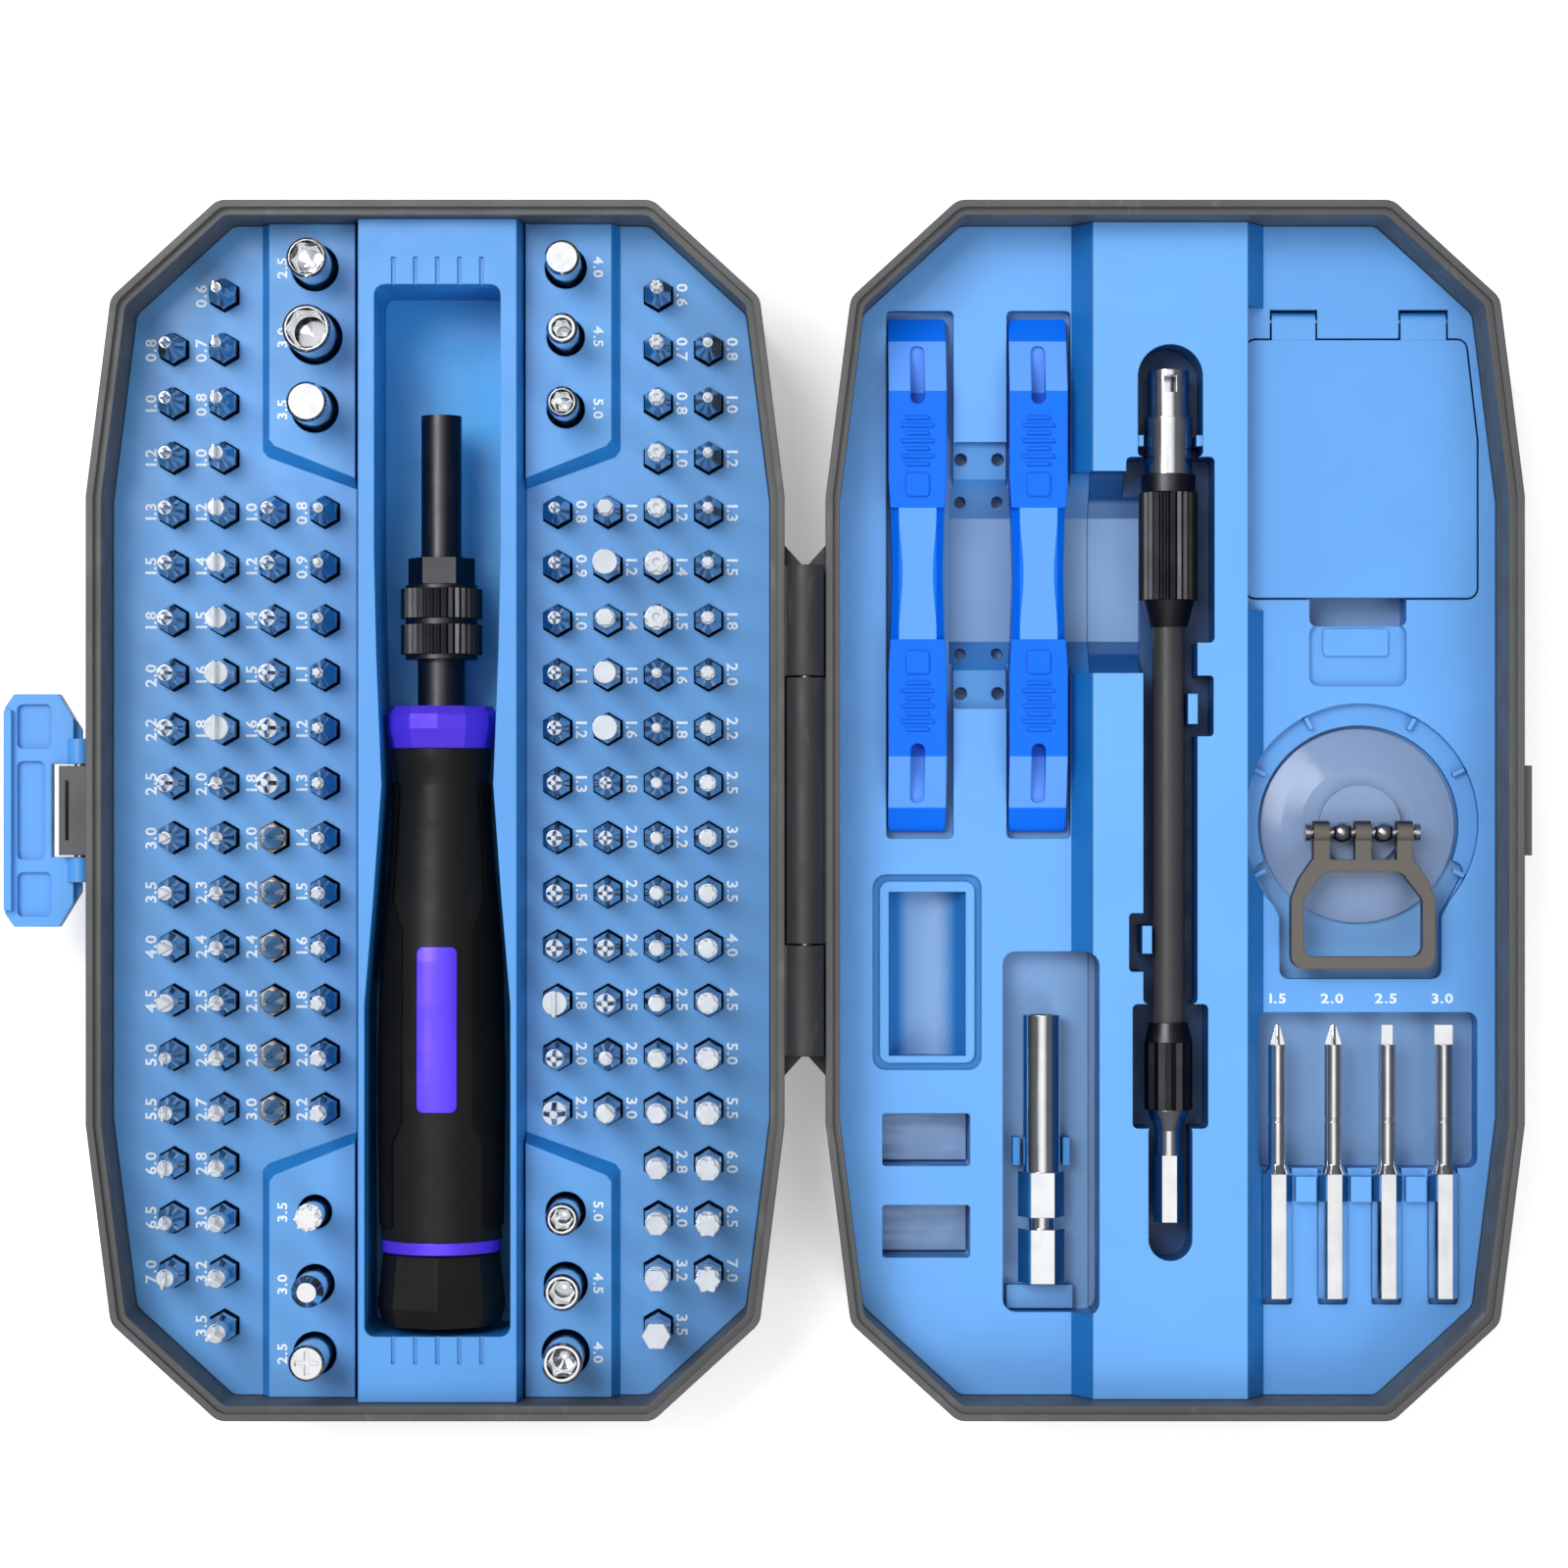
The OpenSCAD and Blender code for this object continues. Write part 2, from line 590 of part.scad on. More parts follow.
// Spring tabs that hold the rod, as [x from, x to, y from, y to] on one side
rod_tabs = [[rod_r + 0.3, 4.3, 13.4, 18.1], [4.1, 5.1, 56.5, 58.2]];
module lid_strip() {
    depth = rod_depth + rod_grip_r + 0.4;
    color("cornflowerblue") in_lid() {
        for (t = rod_tabs) block(t[0], t[1], t[2], t[3], shell_h - depth - eps, strip_z - 0.6);
        block(-4.3, -rod_r - 0.3, -22.2, -17.9, shell_h - depth - eps, strip_z - 0.6);
        block(-5.1, -4.1, 56.5, 58.2, shell_h - depth - eps, strip_z - 0.6);
        lid_strip_body(depth);
    }
}
module lid_strip_body(depth) {
    difference() {
        translate([0, 0, floor_z]) linear_extrude(strip_z - floor_z)
            tray_slice(-strip_half, strip_half);
        for (s = rod_recess) pit(-s[2], s[2], s[1], s[0], depth, 0.8);
        translate([0, 67.2, shell_h - depth]) cylinder(h = depth, r = 5.05);
        translate([0, -66.4, shell_h - depth]) cylinder(h = depth, r = 3.4);
        pit(0, 6.7, 11.5, 20.9, depth, 0.6);
        pit(-6.4, 0, -25, -15.9, depth, 0.6);
        finger_trough();
        adapter_recess();
    }
}
door_y = [33.2, 73.4];
door_x = [12.2, 48.3];
tab_x = [[16.3, 23.1], [36.4, 43.5]];
door_plate = [[door_x[0], door_y[0]], [door_x[1], door_y[0]], [door_x[1], 57.8],
    [door_x[1] - 1.8, door_y[1]], [door_x[0], door_y[1]]];
module long_bit_recess() {
    pit(14, 48.4, -55.8, -31.5, 17, 1.5);
    for (x = long_bit_x)
        pit(x - 2.3, x + 2.3, -77.1, -50, long_slot_floor, 0.4);
}
module lid_tray_right() {
    color("cornflowerblue") in_lid() {
        difference() {
            lid_field(1);
            // flat beside the door, its seat, its tabs and the box under it
            block(strip_half, 16.5, door_y[0] - 2, 78.4, field_z, shell_h);
            translate([0, 0, field_z - door_t]) linear_extrude(door_t + 1)
                polygon(rounded(inset(door_plate, -play), 1.8));
            for (t = tab_x)
                pit(t[0] - play, t[1] + play, door_y[1] - 1, door_hinge_y + door_barrel + play,
                    door_hinge_depth + door_barrel + play, 0.1);
            pit(15.5, 45.5, 36, 71, 23.5, 2);
            along_x(door_hinge_y, shell_h - door_hinge_depth) translate([0, 0, 15])
                cylinder(h = 29.8, r = 0.73);
            // finger notch at the door's edge, and a shallow landing in front of it
            pit(22.2, 37.3, 28.8, door_y[0] + 2, 18, 1);
            pit(22.2, 37.3, 19.4, 29, field_depth + 1, 1.5);
            // seat of the suction cup and its handle
            translate([cup_at.x, cup_at.y, shell_h - cup_floor]) cylinder(h = cup_floor, r = 15.7);
            translate([seat_at.x, seat_at.y, shell_h - cup_floor + 1.6])
                cylinder(h = cup_floor, r = 18.6);
            translate([0, 0, shell_h - cup_floor]) linear_extrude(cup_floor)
                polygon(rounded(loop_seat, 1.5));
            long_bit_recess();
        }
        // low tongue on the landing of the door's notch
        translate([0, 0, field_z - 1 - eps]) linear_extrude(0.45)
            polygon(rounded(box_points(24.4, 34.6, 24.1, 28.4), 0.6));
        // ribs between the petals of the cup seat
        for (a = [-27, 27, 62, 117, 153, 207])
            translate([seat_at.x, seat_at.y, shell_h - cup_floor + 1.55])
                rotate([0, 0, a]) translate([16.4, -0.35, 0]) cube([2, 0.7, 1.2]);
        // clip nubs between the long bits
        for (i = [0:2]) let (x = (long_bit_x[i] + long_bit_x[i + 1]) / 2)
            block(x - 1.6, x + 1.6, -61, -57, field_z - eps, field_z + 1.6);
    }
}
module door_pin() {
    color("silver") in_lid() along_x(door_hinge_y, shell_h - door_hinge_depth)
        translate([0, 0, 15.1]) cylinder(h = 29.6, r = 0.7);
}
module accessories_door() {
    hinge_h = shell_h - door_hinge_depth;
    color("cornflowerblue") in_lid() difference() {
        union() {
            translate([0, 0, field_z - door_t + fit]) linear_extrude(door_t + fit)
                polygon(rounded(door_plate, 1.5));
            for (t = tab_x) {
                translate([t[0], 0, 0]) along_x(door_hinge_y, hinge_h)
                    cylinder(h = t[1] - t[0], r = door_barrel);
                block(t[0], t[1], door_y[1] - 1, door_hinge_y, hinge_h - 0.6, hinge_h + door_barrel);
            }
        }
        along_x(door_hinge_y, hinge_h) translate([0, 0, 10]) cylinder(h = 40, r = 0.78);
    }
}

/* Driver, lying along Y in the base trough */
handle_stations = [[9.6, waist_r + 0.4], [4, waist_r], [-30, handle_r - 0.2], [-42, handle_r],
    [-66.6, handle_r - 0.25]];
handle_profile = blended(handle_stations);
module in_driver() { in_base() along_y(0, driver_z) children(); }
module handle_ring(from, to, lift) {
    difference() {
        rotate_extrude() polygon(concat([for (p = handle_profile) [p.x + lift, p.y]],
            [[0, -66.6], [0, 9.6]]));
        rotate_extrude() polygon(concat([for (p = handle_profile) [p.x + 0.02, p.y]],
            [[0, -67], [0, 10]]));
        translate([-15, -15, to]) cube([30, 30, 80]);
        translate([-15, -15, from - 80]) cube([30, 30, 80]);
    }
}
module driver_core() {
    color("#222222") in_driver()
        rotate_extrude() polygon(concat(handle_profile, [[0, -66.6], [0, 9.6]]));
}
// Edge of the left and right grip panels, from the ring end down
grip_edge = [[6, 8], [6.2, 4.3], [7.3, -14], [5.6, -18.5], [5.6, -48], [7.2, -51.6], [7.2, -66]];
module driver_grip() {
    color("#181818") in_driver() difference() {
        handle_ring(-64.5, 4.3, 0.35);
        translate([0, 15, 0]) rotate([90, 0, 0]) linear_extrude(30) polygon(concat(
            [for (p = grip_edge) [-p.x, p.y]], [for (i = [len(grip_edge) - 1:-1:0]) grip_edge[i]]));
    }
}
module driver_inlay() {
    inlay = rounded(box_points(-3.1, 3.1, -46.5, -21), 1);
    color("blue") in_driver() intersection() {
        handle_ring(-46.5, -21, 0.3);
        translate([0, 15, 0]) rotate([90, 0, 0]) linear_extrude(30) polygon(inlay);
    }
}
module driver_ring() {
    color("blue") in_driver() difference() {
        union() {
            translate([0, 0, 9.65]) cylinder(h = 3, r1 = 8, r2 = 8.75, $fn = 12);
            translate([0, 0, 12.65]) cylinder(h = 2.2, r = 8.75, $fn = 12);
            translate([0, 0, 14.85]) cylinder(h = 1.35, r1 = 8.75, r2 = 7.9, $fn = 12);
        }
        cylinder(h = 20, r = 3.75);
    }
}
module driver_band() {
    color("blue") in_driver() translate([0, 0, -68.5]) cylinder(h = 1.88, r = handle_r - 0.2);
}
module driver_cap() {
    color("#222222") in_driver() {
        translate([0, 0, -77]) cylinder(h = 8.2, r1 = handle_r + 0.4, r2 = handle_r - 0.5, $fn = 8);
        translate([0, 0, -79.9]) cylinder(h = 2.9, r1 = handle_r - 0.4, r2 = handle_r + 0.4, $fn = 8);
    }
}
module driver_shaft() {
    color("#333333") in_driver() difference() {
        union() {
            translate([0, 0, 9.65]) cylinder(h = 17, r = 3.7);
            translate([0, 0, 20]) cylinder(h = 41.5, r = shaft_r);
            translate([0, 0, 35.2]) hex_prism(9, 4.1);
        }
        translate([0, 0, 49.5]) hex_prism(bit_af + 0.1, 13);
    }
}
module driver_sleeve() {
    color("#333333") in_driver() difference() {
        union() {
            translate([0, 0, 23.5]) cylinder(h = 11.6, r = 5.6);
            for (z = [24.3, 29.9]) translate([0, 0, z]) linear_extrude(4.6) polygon(toothed(36, 6.35, 0.4));
        }
        translate([0, 0, 20]) cylinder(h = 20, r = 3.78);
    }
}

/* Flexible extension rod, lying along Y in the lid strip */
module in_rod() { in_lid() along_y(0, shell_h - rod_depth) children(); }
module rod_holder() {
    color("silver") in_rod() difference() {
        union() {
            translate([0, 0, 52.25]) cylinder(h = 8.8, r = 3.7);
            translate([0, 0, 61]) cylinder(h = 7.4, r = 3.2);
        }
        translate([0, 0, 58]) hex_prism(bit_af + 0.1, 13);
        // window over the bit
        translate([-0.95, -5, 64.9]) cube([1.9, 4, 2.6]);
    }
}
module rod_collar() {
    color("#222222") in_rod() translate([0, 0, 49.45]) cylinder(h = 2.75, r = 4.2);
}
module rod_grip() {
    color("#222222") in_rod() difference() {
        union() {
            translate([0, 0, 32.7]) linear_extrude(16.7) polygon(toothed(26, rod_grip_r, 0.4));
            translate([0, 0, 28.6]) cylinder(h = 4.1, r1 = 3, r2 = rod_grip_r - 0.5);
        }
        translate([0, 0, 20]) cylinder(h = 20, r = rod_r + 0.05);
    }
}
module rod_shaft() {
    color("#1a1a1a") in_rod() translate([0, 0, -38]) cylinder(h = 76, r = rod_r);
}
module rod_ferrule() {
    color("#222222") in_rod() difference() {
        union() {
            translate([0, 0, -36]) cylinder(h = 3, r1 = 3.75, r2 = 3);
            translate([0, 0, -46.5]) linear_extrude(10.5) polygon(toothed(12, 3.75, 0.35));
        }
        translate([0, 0, -39]) cylinder(h = 10, r = rod_r + 0.05);
    }
}
module rod_tip() {
    color("silver") in_rod() {
        translate([0, 0, -49.8]) cylinder(h = 3.25, r1 = 2, r2 = 3.3);
        translate([0, 0, -53.7]) cylinder(h = 4, r = 2);
        translate([0, 0, -64]) hex_prism(bit_af, 10.4);
    }
}

/* Pry tools, each lying along Y */
module pry_tool(x) {
    half = pry_len / 2;
    side = pry_w / 2;
    plan = [[side, half], [side, 15], [side - 0.35, 9], [side - 0.6, 0], [side - 0.35, -9], [side, -15],
        [side, -half]];
    profile = [[-half, 0], [half, 0], [half, 1], [half - 3.6, 2.8], [half - 11.6, pry_h],
        [-half + 11.6, pry_h], [-half + 3.6, 2.8], [-half, 1]];
    color("dodgerblue") in_lid() translate([x, pry_y, shell_h - pry_floor + fit]) {
        difference() {
            intersection() {
                linear_extrude(pry_h) polygon(rounded(concat(plan,
                    [for (i = [len(plan) - 1:-1:0]) [-plan[i].x, plan[i].y]]), 0.6));
                rotate([90, 0, 90]) translate([0, 0, -10]) linear_extrude(20) polygon(profile);
            }
            // nail slots near both ends
            for (s = [-1, 1]) translate([0, s * (half - 9), 2.4]) linear_extrude(pry_h)
                polygon(rounded(box_points(-1.1, 1.1, -4.6, 4.6), 1));
            // sloped sides of the waist
            for (s = [-1, 1]) translate([s * 2.9, 0, pry_h]) rotate([0, s * 50, 0])
                translate([-4, -10.2, 0]) cube([8, 20.4, 4]);
        }
        // grip ribs and a thumb pad on both halves
        for (s = [-1, 1]) {
            for (i = [0:6]) translate([0, s * (17 + 1.2 * i), pry_h - eps])
                linear_extrude(0.35) square([3.6 + 1.4 * (i % 2), 0.5], center = true);
            translate([0, s * 13.8, pry_h - eps]) linear_extrude(0.4)
                polygon(rounded(box_points(-1.8, 1.8, -1.8, 1.8), 0.6));
        }
    }
}
module pry_tool_left() { pry_tool(pry_x[0]); }
module pry_tool_right() { pry_tool(pry_x[1]); }

/* Suction cup with a fold-up loop */
module in_cup() { in_lid() translate([cup_at.x, cup_at.y, shell_h - cup_floor]) children(); }
pin_z = cup_floor - handle_depth;
module cup_disc() {
    color("lightsteelblue", 0.8) in_cup() rotate_extrude()
        polygon([[0, 0.9], [9, 0.6], [cup_r, 0.1], [cup_r, 0.7], [12, 1.6], [9, 2.3], [6.6, 2.6], [0, 2.6]]);
}
ball_x = [-3.2, 3.2];
ball_r = 1.7;
prong_x = [-6.45, 0, 6.45];
prong_half = 1.25;
module cup_stud() {
    y = handle_y - cup_at.y;
    color("slategray") in_cup() {
        translate([0, 0, 2.65]) cylinder(h = 1.1, r = 6.4);
        for (x = ball_x) block(x - 1.2, x + 1.2, y - 1.5, y + 1.5, 3.7, pin_z - ball_r);
    }
}
module cup_pin() {
    half = 8.9;
    color("silver") in_cup() along_x(handle_y - cup_at.y, pin_z) {
        translate([0, 0, -half]) cylinder(h = 2 * half, r = 1);
        for (x = ball_x) translate([0, 0, x]) sphere(r = ball_r);
        for (s = [-1, 1]) translate([0, 0, s * (half - 0.4) - 0.4]) cylinder(h = 0.8, r = 1.4);
    }
}
// The loop and its opening, from the pivot; x of the right side only
loop_side = [[7.7, -1], [7.7, -4], [10, -7.3], [11.2, -10.4], [11.2, -21.2]];
gap_side = [[6, -6.2], [9.2, -10.4], [9.2, -19.3]];
function both_sides(side) = concat([for (p = side) [-p.x, p.y]],
    [for (i = [len(side) - 1:-1:0]) side[i]]);
module cup_handle() {
    low = pin_z - 1.2;
    thick = 2.5;
    color("#2b2b2b") in_cup() translate([0, handle_y - cup_at.y, 0]) difference() {
        union() {
            for (x = prong_x) {
                translate([x - prong_half, 0, 0]) along_x(0, pin_z) cylinder(h = 2 * prong_half, r = 1.8);
                block(x - prong_half, x + prong_half, -4.6, 0, low, low + thick);
            }
            translate([0, 0, low]) linear_extrude(thick) difference() {
                polygon(rounded(both_sides(loop_side), 2));
                polygon(rounded(both_sides(gap_side), 1.6));
                polygon(box_points(-9, 9, -4.2, 2));
            }
        }
        along_x(0, pin_z) translate([0, 0, -12]) cylinder(h = 24, r = 1.06);
    }
}

/* Quarter-inch adapter and long bits, lying along Y in the lid */
module bit_adapter() {
    color("silver") in_lid() along_y(adapter_x, shell_h - adapter_depth) difference() {
        union() {
            translate([0, 0, -56.5]) cylinder(h = 24.6, r = 2.95);
            translate([0, 0, -63.4]) hex_prism(adapter_af, 7);
            translate([0, 0, -65.4]) cylinder(h = 2.1, r = 2.1);
            translate([0, 0, -73.7]) hex_prism(adapter_af, 8.4);
        }
        translate([0, 0, -40]) hex_prism(bit_af + 0.1, 9);
    }
}
module long_bit(i, kind, r) {
    color("silver") in_lid() along_y(long_bit_x[i], shell_h - long_bit_depth) difference() {
        union() {
            translate([0, 0, -76]) hex_prism(bit_af, 19.4);
            translate([0, 0, -56.6]) cylinder(h = 1.4, r1 = 2, r2 = 1.4);
            translate([0, 0, -56.6]) cylinder(h = 20.1, r = 1.4);
            translate([0, 0, -36.6]) rotate([0, 0, 90]) bit_tip(kind, r);
        }
        // mark ring
        translate([0, 0, -48.5]) tube(2, 1.3, 0, 0.6);
    }
}
module long_bit_1() { long_bit(0, "phillips", 1.2); }
module long_bit_2() { long_bit(1, "phillips", 1.4); }
module long_bit_3() { long_bit(2, "flat", 0.9); }
module long_bit_4() { long_bit(3, "flat", 1.45); }

base_shell();
driver_cradle();
bit_rack_left();
bit_rack_right();
base_hinge_leaf();
hinge_pin();
latch_bracket();
latch_pin();
bit_column(0, tips_a);  // bits_a
bit_column(1, tips_b);  // bits_b
bit_column(2, tips_c);  // bits_c
bit_column(3, tips_d);  // bits_d
bit_column(4, tips_e);  // bits_e
bit_column(5, tips_f);  // bits_f
bit_column(6, tips_g);  // bits_g
bit_column(7, tips_h);  // bits_h
nut_group(-1, 1);  // nuts_top_left
nut_group(1, 1);  // nuts_top_right
nut_group(-1, -1);  // nuts_bottom_left
nut_group(1, -1);  // nuts_bottom_right
latch_clip();
lid_shell();
lid_tray_left();
lid_strip();
lid_tray_right();
lid_hinge_leaf();
lid_catch();
magnet_plates();
door_pin();
accessories_door();
driver_core();
driver_grip();
driver_inlay();
driver_ring();
driver_band();
driver_shaft();
driver_sleeve();
driver_cap();
rod_holder();
rod_collar();
rod_grip();
rod_shaft();
rod_ferrule();
rod_tip();
pry_tool_left();
pry_tool_right();
cup_disc();
cup_stud();
cup_pin();
cup_handle();
bit_adapter();
long_bit_1();
long_bit_2();
long_bit_3();
long_bit_4();
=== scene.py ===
import json
import math

import bmesh
import bpy
from mathutils import Matrix, Vector


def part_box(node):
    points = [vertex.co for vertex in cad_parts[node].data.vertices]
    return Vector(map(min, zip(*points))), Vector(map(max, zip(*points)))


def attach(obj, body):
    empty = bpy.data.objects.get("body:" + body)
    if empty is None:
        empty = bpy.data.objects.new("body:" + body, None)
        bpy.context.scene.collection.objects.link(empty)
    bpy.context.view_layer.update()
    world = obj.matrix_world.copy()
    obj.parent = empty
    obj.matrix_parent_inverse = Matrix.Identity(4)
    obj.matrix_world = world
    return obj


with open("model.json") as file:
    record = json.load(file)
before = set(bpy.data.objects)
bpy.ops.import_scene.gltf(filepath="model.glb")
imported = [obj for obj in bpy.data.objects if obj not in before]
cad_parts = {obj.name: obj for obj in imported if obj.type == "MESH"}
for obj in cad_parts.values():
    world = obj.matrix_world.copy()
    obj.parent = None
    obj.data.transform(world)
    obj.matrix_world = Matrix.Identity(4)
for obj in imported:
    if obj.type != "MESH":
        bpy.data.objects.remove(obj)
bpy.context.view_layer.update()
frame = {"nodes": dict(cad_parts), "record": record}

MM = 0.001
NODES = frame["nodes"]
scene = bpy.context.scene


def middle(node):
    """Middle of a CAD node's box, in metres."""
    low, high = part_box(node)
    return (low + high) / 2


BASE_X = middle("base_shell").x
LID_X = middle("lid_shell").x
RIM_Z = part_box("base_shell")[1].z
FIELD_DEPTH = 12 * MM
FIELD_Z = RIM_Z - FIELD_DEPTH


# Materials ---------------------------------------------------------------
def srgb(r, g, b):
    """A colour in the 0 to 255 scale as linear RGBA."""
    def lin(c):
        c /= 255
        return c / 12.92 if c <= 0.04045 else ((c + 0.055) / 1.055) ** 2.4
    return (lin(r), lin(g), lin(b), 1)


class Tree:
    """Short calls for building one material's node tree."""

    def __init__(self, name):
        self.material = bpy.data.materials.new(name)
        self.material.use_nodes = True
        self.tree = self.material.node_tree
        self.tree.nodes.clear()
        self.coords = self.tree.nodes.new("ShaderNodeTexCoord")

    def new(self, kind, settings=None, **values):
        made = self.tree.nodes.new(kind)
        for key, value in (settings or {}).items():
            setattr(made, key, value)
        for key, value in values.items():
            self.put(made, key.replace("_", " "), value)
        return made

    def put(self, node, socket, value):
        target = node.inputs[int(socket)] if str(socket).isdigit() else node.inputs[socket]
        if isinstance(value, bpy.types.NodeSocket):
            self.tree.links.new(value, target)
        else:
            target.default_value = value

    def place(self, scale=(1, 1, 1)):
        """The piece's own coordinates, stretched along its axes."""
        node = self.tree.nodes.new("ShaderNodeMapping")
        self.tree.links.new(self.coords.outputs["Object"], node.inputs["Vector"])
        node.inputs["Scale"].default_value = scale
        return node.outputs["Vector"]

    def noise(self, scale, detail=3.0, stretch=(1, 1, 1)):
        node = self.new("ShaderNodeTexNoise", Vector=self.place(stretch), Scale=scale, Detail=detail)
        return node.outputs["Fac"]

    def remap(self, value, a, b, c, d):
        node = self.new("ShaderNodeMapRange", {"clamp": True, "interpolation_type": "SMOOTHSTEP"})
        for key, v in (("Value", value), ("From Min", a), ("From Max", b), ("To Min", c), ("To Max", d)):
            self.put(node, key, v)
        return node.outputs["Result"]

    def mix(self, factor, a, b, blend="MIX"):
        node = self.new("ShaderNodeMix", {"data_type": "RGBA", "blend_type": blend})
        self.put(node, 0, factor)
        self.put(node, 6, a)
        self.put(node, 7, b)
        return node.outputs[2]

    def math(self, op, a, b=0.0):
        node = self.new("ShaderNodeMath", {"operation": op})
        self.put(node, 0, a)
        self.put(node, 1, b)
        return node.outputs[0]

    def up(self):
        """How far the surface faces up: the z of its normal in the piece's own frame."""
        node = self.new("ShaderNodeSeparateXYZ", Vector=self.coords.outputs["Normal"])
        return node.outputs["Z"]

    def axis(self, letter):
        node = self.new("ShaderNodeSeparateXYZ", Vector=self.coords.outputs["Object"])
        return node.outputs[letter]

    def finish(self, color, rough, bump=None, bump_height=0.0, edge=0.25, **shader):
        bsdf = self.new("ShaderNodeBsdfPrincipled")
        self.put(bsdf, "Base Color", color)
        self.put(bsdf, "Roughness", rough)
        for key, value in shader.items():
            self.put(bsdf, key.replace("_", " "), value)
        normal = None
        if edge:
            normal = self.new("ShaderNodeBevel", {"samples": 4}, Radius=edge * MM).outputs["Normal"]
        if bump is not None:
            node = self.new("ShaderNodeBump", Strength=1.0, Distance=bump_height * MM, Height=bump)
            if normal is not None:
                self.put(node, "Normal", normal)
            normal = node.outputs["Normal"]
        if normal is not None:
            self.put(bsdf, "Normal", normal)
        out = self.new("ShaderNodeOutputMaterial")
        self.tree.links.new(bsdf.outputs[0], out.inputs["Surface"])
        return self.material


def plastic(name, color, rough=0.42, grain=2500, grain_height=0.012, shade=0.06, edge=0.25, wear=None,
            **shader):
    """Moulded plastic: fine grain, slight shade changes, and streaky scuffs spread by noise where wear is a
    colour.
    """
    t = Tree(name)
    broad = t.remap(t.noise(28, 2), 0.35, 0.65, 0, 1)
    dark = tuple(c * (1 - shade) for c in color[:3]) + (1,)
    light = tuple(min(1, c * (1 + shade)) for c in color[:3]) + (1,)
    tone = t.mix(broad, dark, light)
    if wear:
        scuff = t.remap(t.noise(420, 5, (1, 0.25, 1)), 0.6, 0.75, 0, 0.35)
        tone = t.mix(scuff, tone, wear)
    roughness = t.remap(t.noise(160, 4), 0.3, 0.7, rough - 0.06, rough + 0.08)
    return t.finish(tone, roughness, t.noise(grain, 2), grain_height, edge, **shader)


TRAY_ROUGH = 0.4


def tray(name, levels, side=(22, 108, 182)):
    """Blue moulded tray with painted light and shade: faces that look up take a painted colour by their
    height, standing in for the light and shade at each depth, and side colours the walls darker as painted
    shade.
    levels is a list of (height in mm, colour), lowest first."""
    t = Tree(name)
    z = t.math("DIVIDE", t.axis("Z"), RIM_Z)
    ramp = t.new("ShaderNodeValToRGB", Fac=z)
    ramp.color_ramp.interpolation = "LINEAR"
    stops = ramp.color_ramp.elements
    for i, (height, color) in enumerate(levels):
        stop = stops[i] if i < 2 else stops.new(0.99)
        stop.position = height * MM / RIM_Z
        stop.color = srgb(*color)
    # painted shade: faces that do not look up take the darker side colour
    painted_wall_shade = t.remap(t.up(), 0.62, 0.96, 0, 1)
    tone = t.mix(painted_wall_shade, srgb(*side), ramp.outputs["Color"])
    broad = t.remap(t.noise(35, 3), 0.3, 0.7, 0.95, 1.04)
    tint = t.new("ShaderNodeCombineColor")
    for i in range(3):
        t.put(tint, i, broad)
    tone = t.mix(1.0, tone, tint.outputs[0], "MULTIPLY")
    roughness = t.remap(t.noise(180, 4), 0.3, 0.7, TRAY_ROUGH - 0.07, TRAY_ROUGH + 0.08)
    return t.finish(tone, roughness, t.noise(1800, 3), 0.01, 0.3)


# Half the width, across the case's middle, of the change to the near side's colour
NEAR_BLEND = 0.5 * MM


def metal(name, color, rough=0.22, brush=(1, 1, 1), stain=0.25, edge=0.12, near=None, **shader):
    """Steel: fine machining lines along one axis, and slightly uneven tone and polish.
    near is the colour of the pieces on the near side of the case, where it differs."""
    t = Tree(name)
    lines = t.noise(900, 4, brush)
    dark = tuple(c * (1 - stain) for c in color[:3]) + (1,)
    tone = t.mix(t.remap(t.noise(240, 3), 0.3, 0.7, 0, 1), dark, color)
    if near:
        tone = t.mix(t.remap(t.axis("Y"), -NEAR_BLEND, NEAR_BLEND, 1, 0), tone, near)
    roughness = t.remap(lines, 0.3, 0.7, rough - 0.04, rough + 0.06)
    return t.finish(tone, roughness, lines, 0.006, edge, Metallic=1.0, **shader)


# Colours of the trays' upward faces by height in mm, lowest first: painted light and shade, each depth given
# the tone its light or shade shows instead of one plastic colour
LID_PAINTED_LIGHT_AND_SHADE = [(8.5, (122, 158, 202)), (11.6, (112, 154, 200)), (12.4, (84, 144, 206)), (14.6, (93, 157, 226)),
              (20, (97, 162, 230))]
LEFT_PAINTED_LIGHT_AND_SHADE = [(8.5, (122, 158, 202)), (11.6, (112, 154, 200)), (13, (84, 144, 206)), (14.3, (40, 124, 196)),
               (14.8, (97, 161, 229)), (20, (97, 162, 230))]
STRIP_PAINTED_LIGHT_AND_SHADE = [(8.5, (122, 158, 202)), (10.6, (122, 158, 202)), (11.2, (16, 66, 118)), (13, (20, 84, 146)),
                (19, (97, 162, 230))]
BASE_PAINTED_LIGHT_AND_SHADE = [(3.5, (64, 176, 242)), (5, (62, 166, 234)), (14, (92, 156, 220)), (18, (90, 154, 218)),
               (23, (80, 146, 214))]
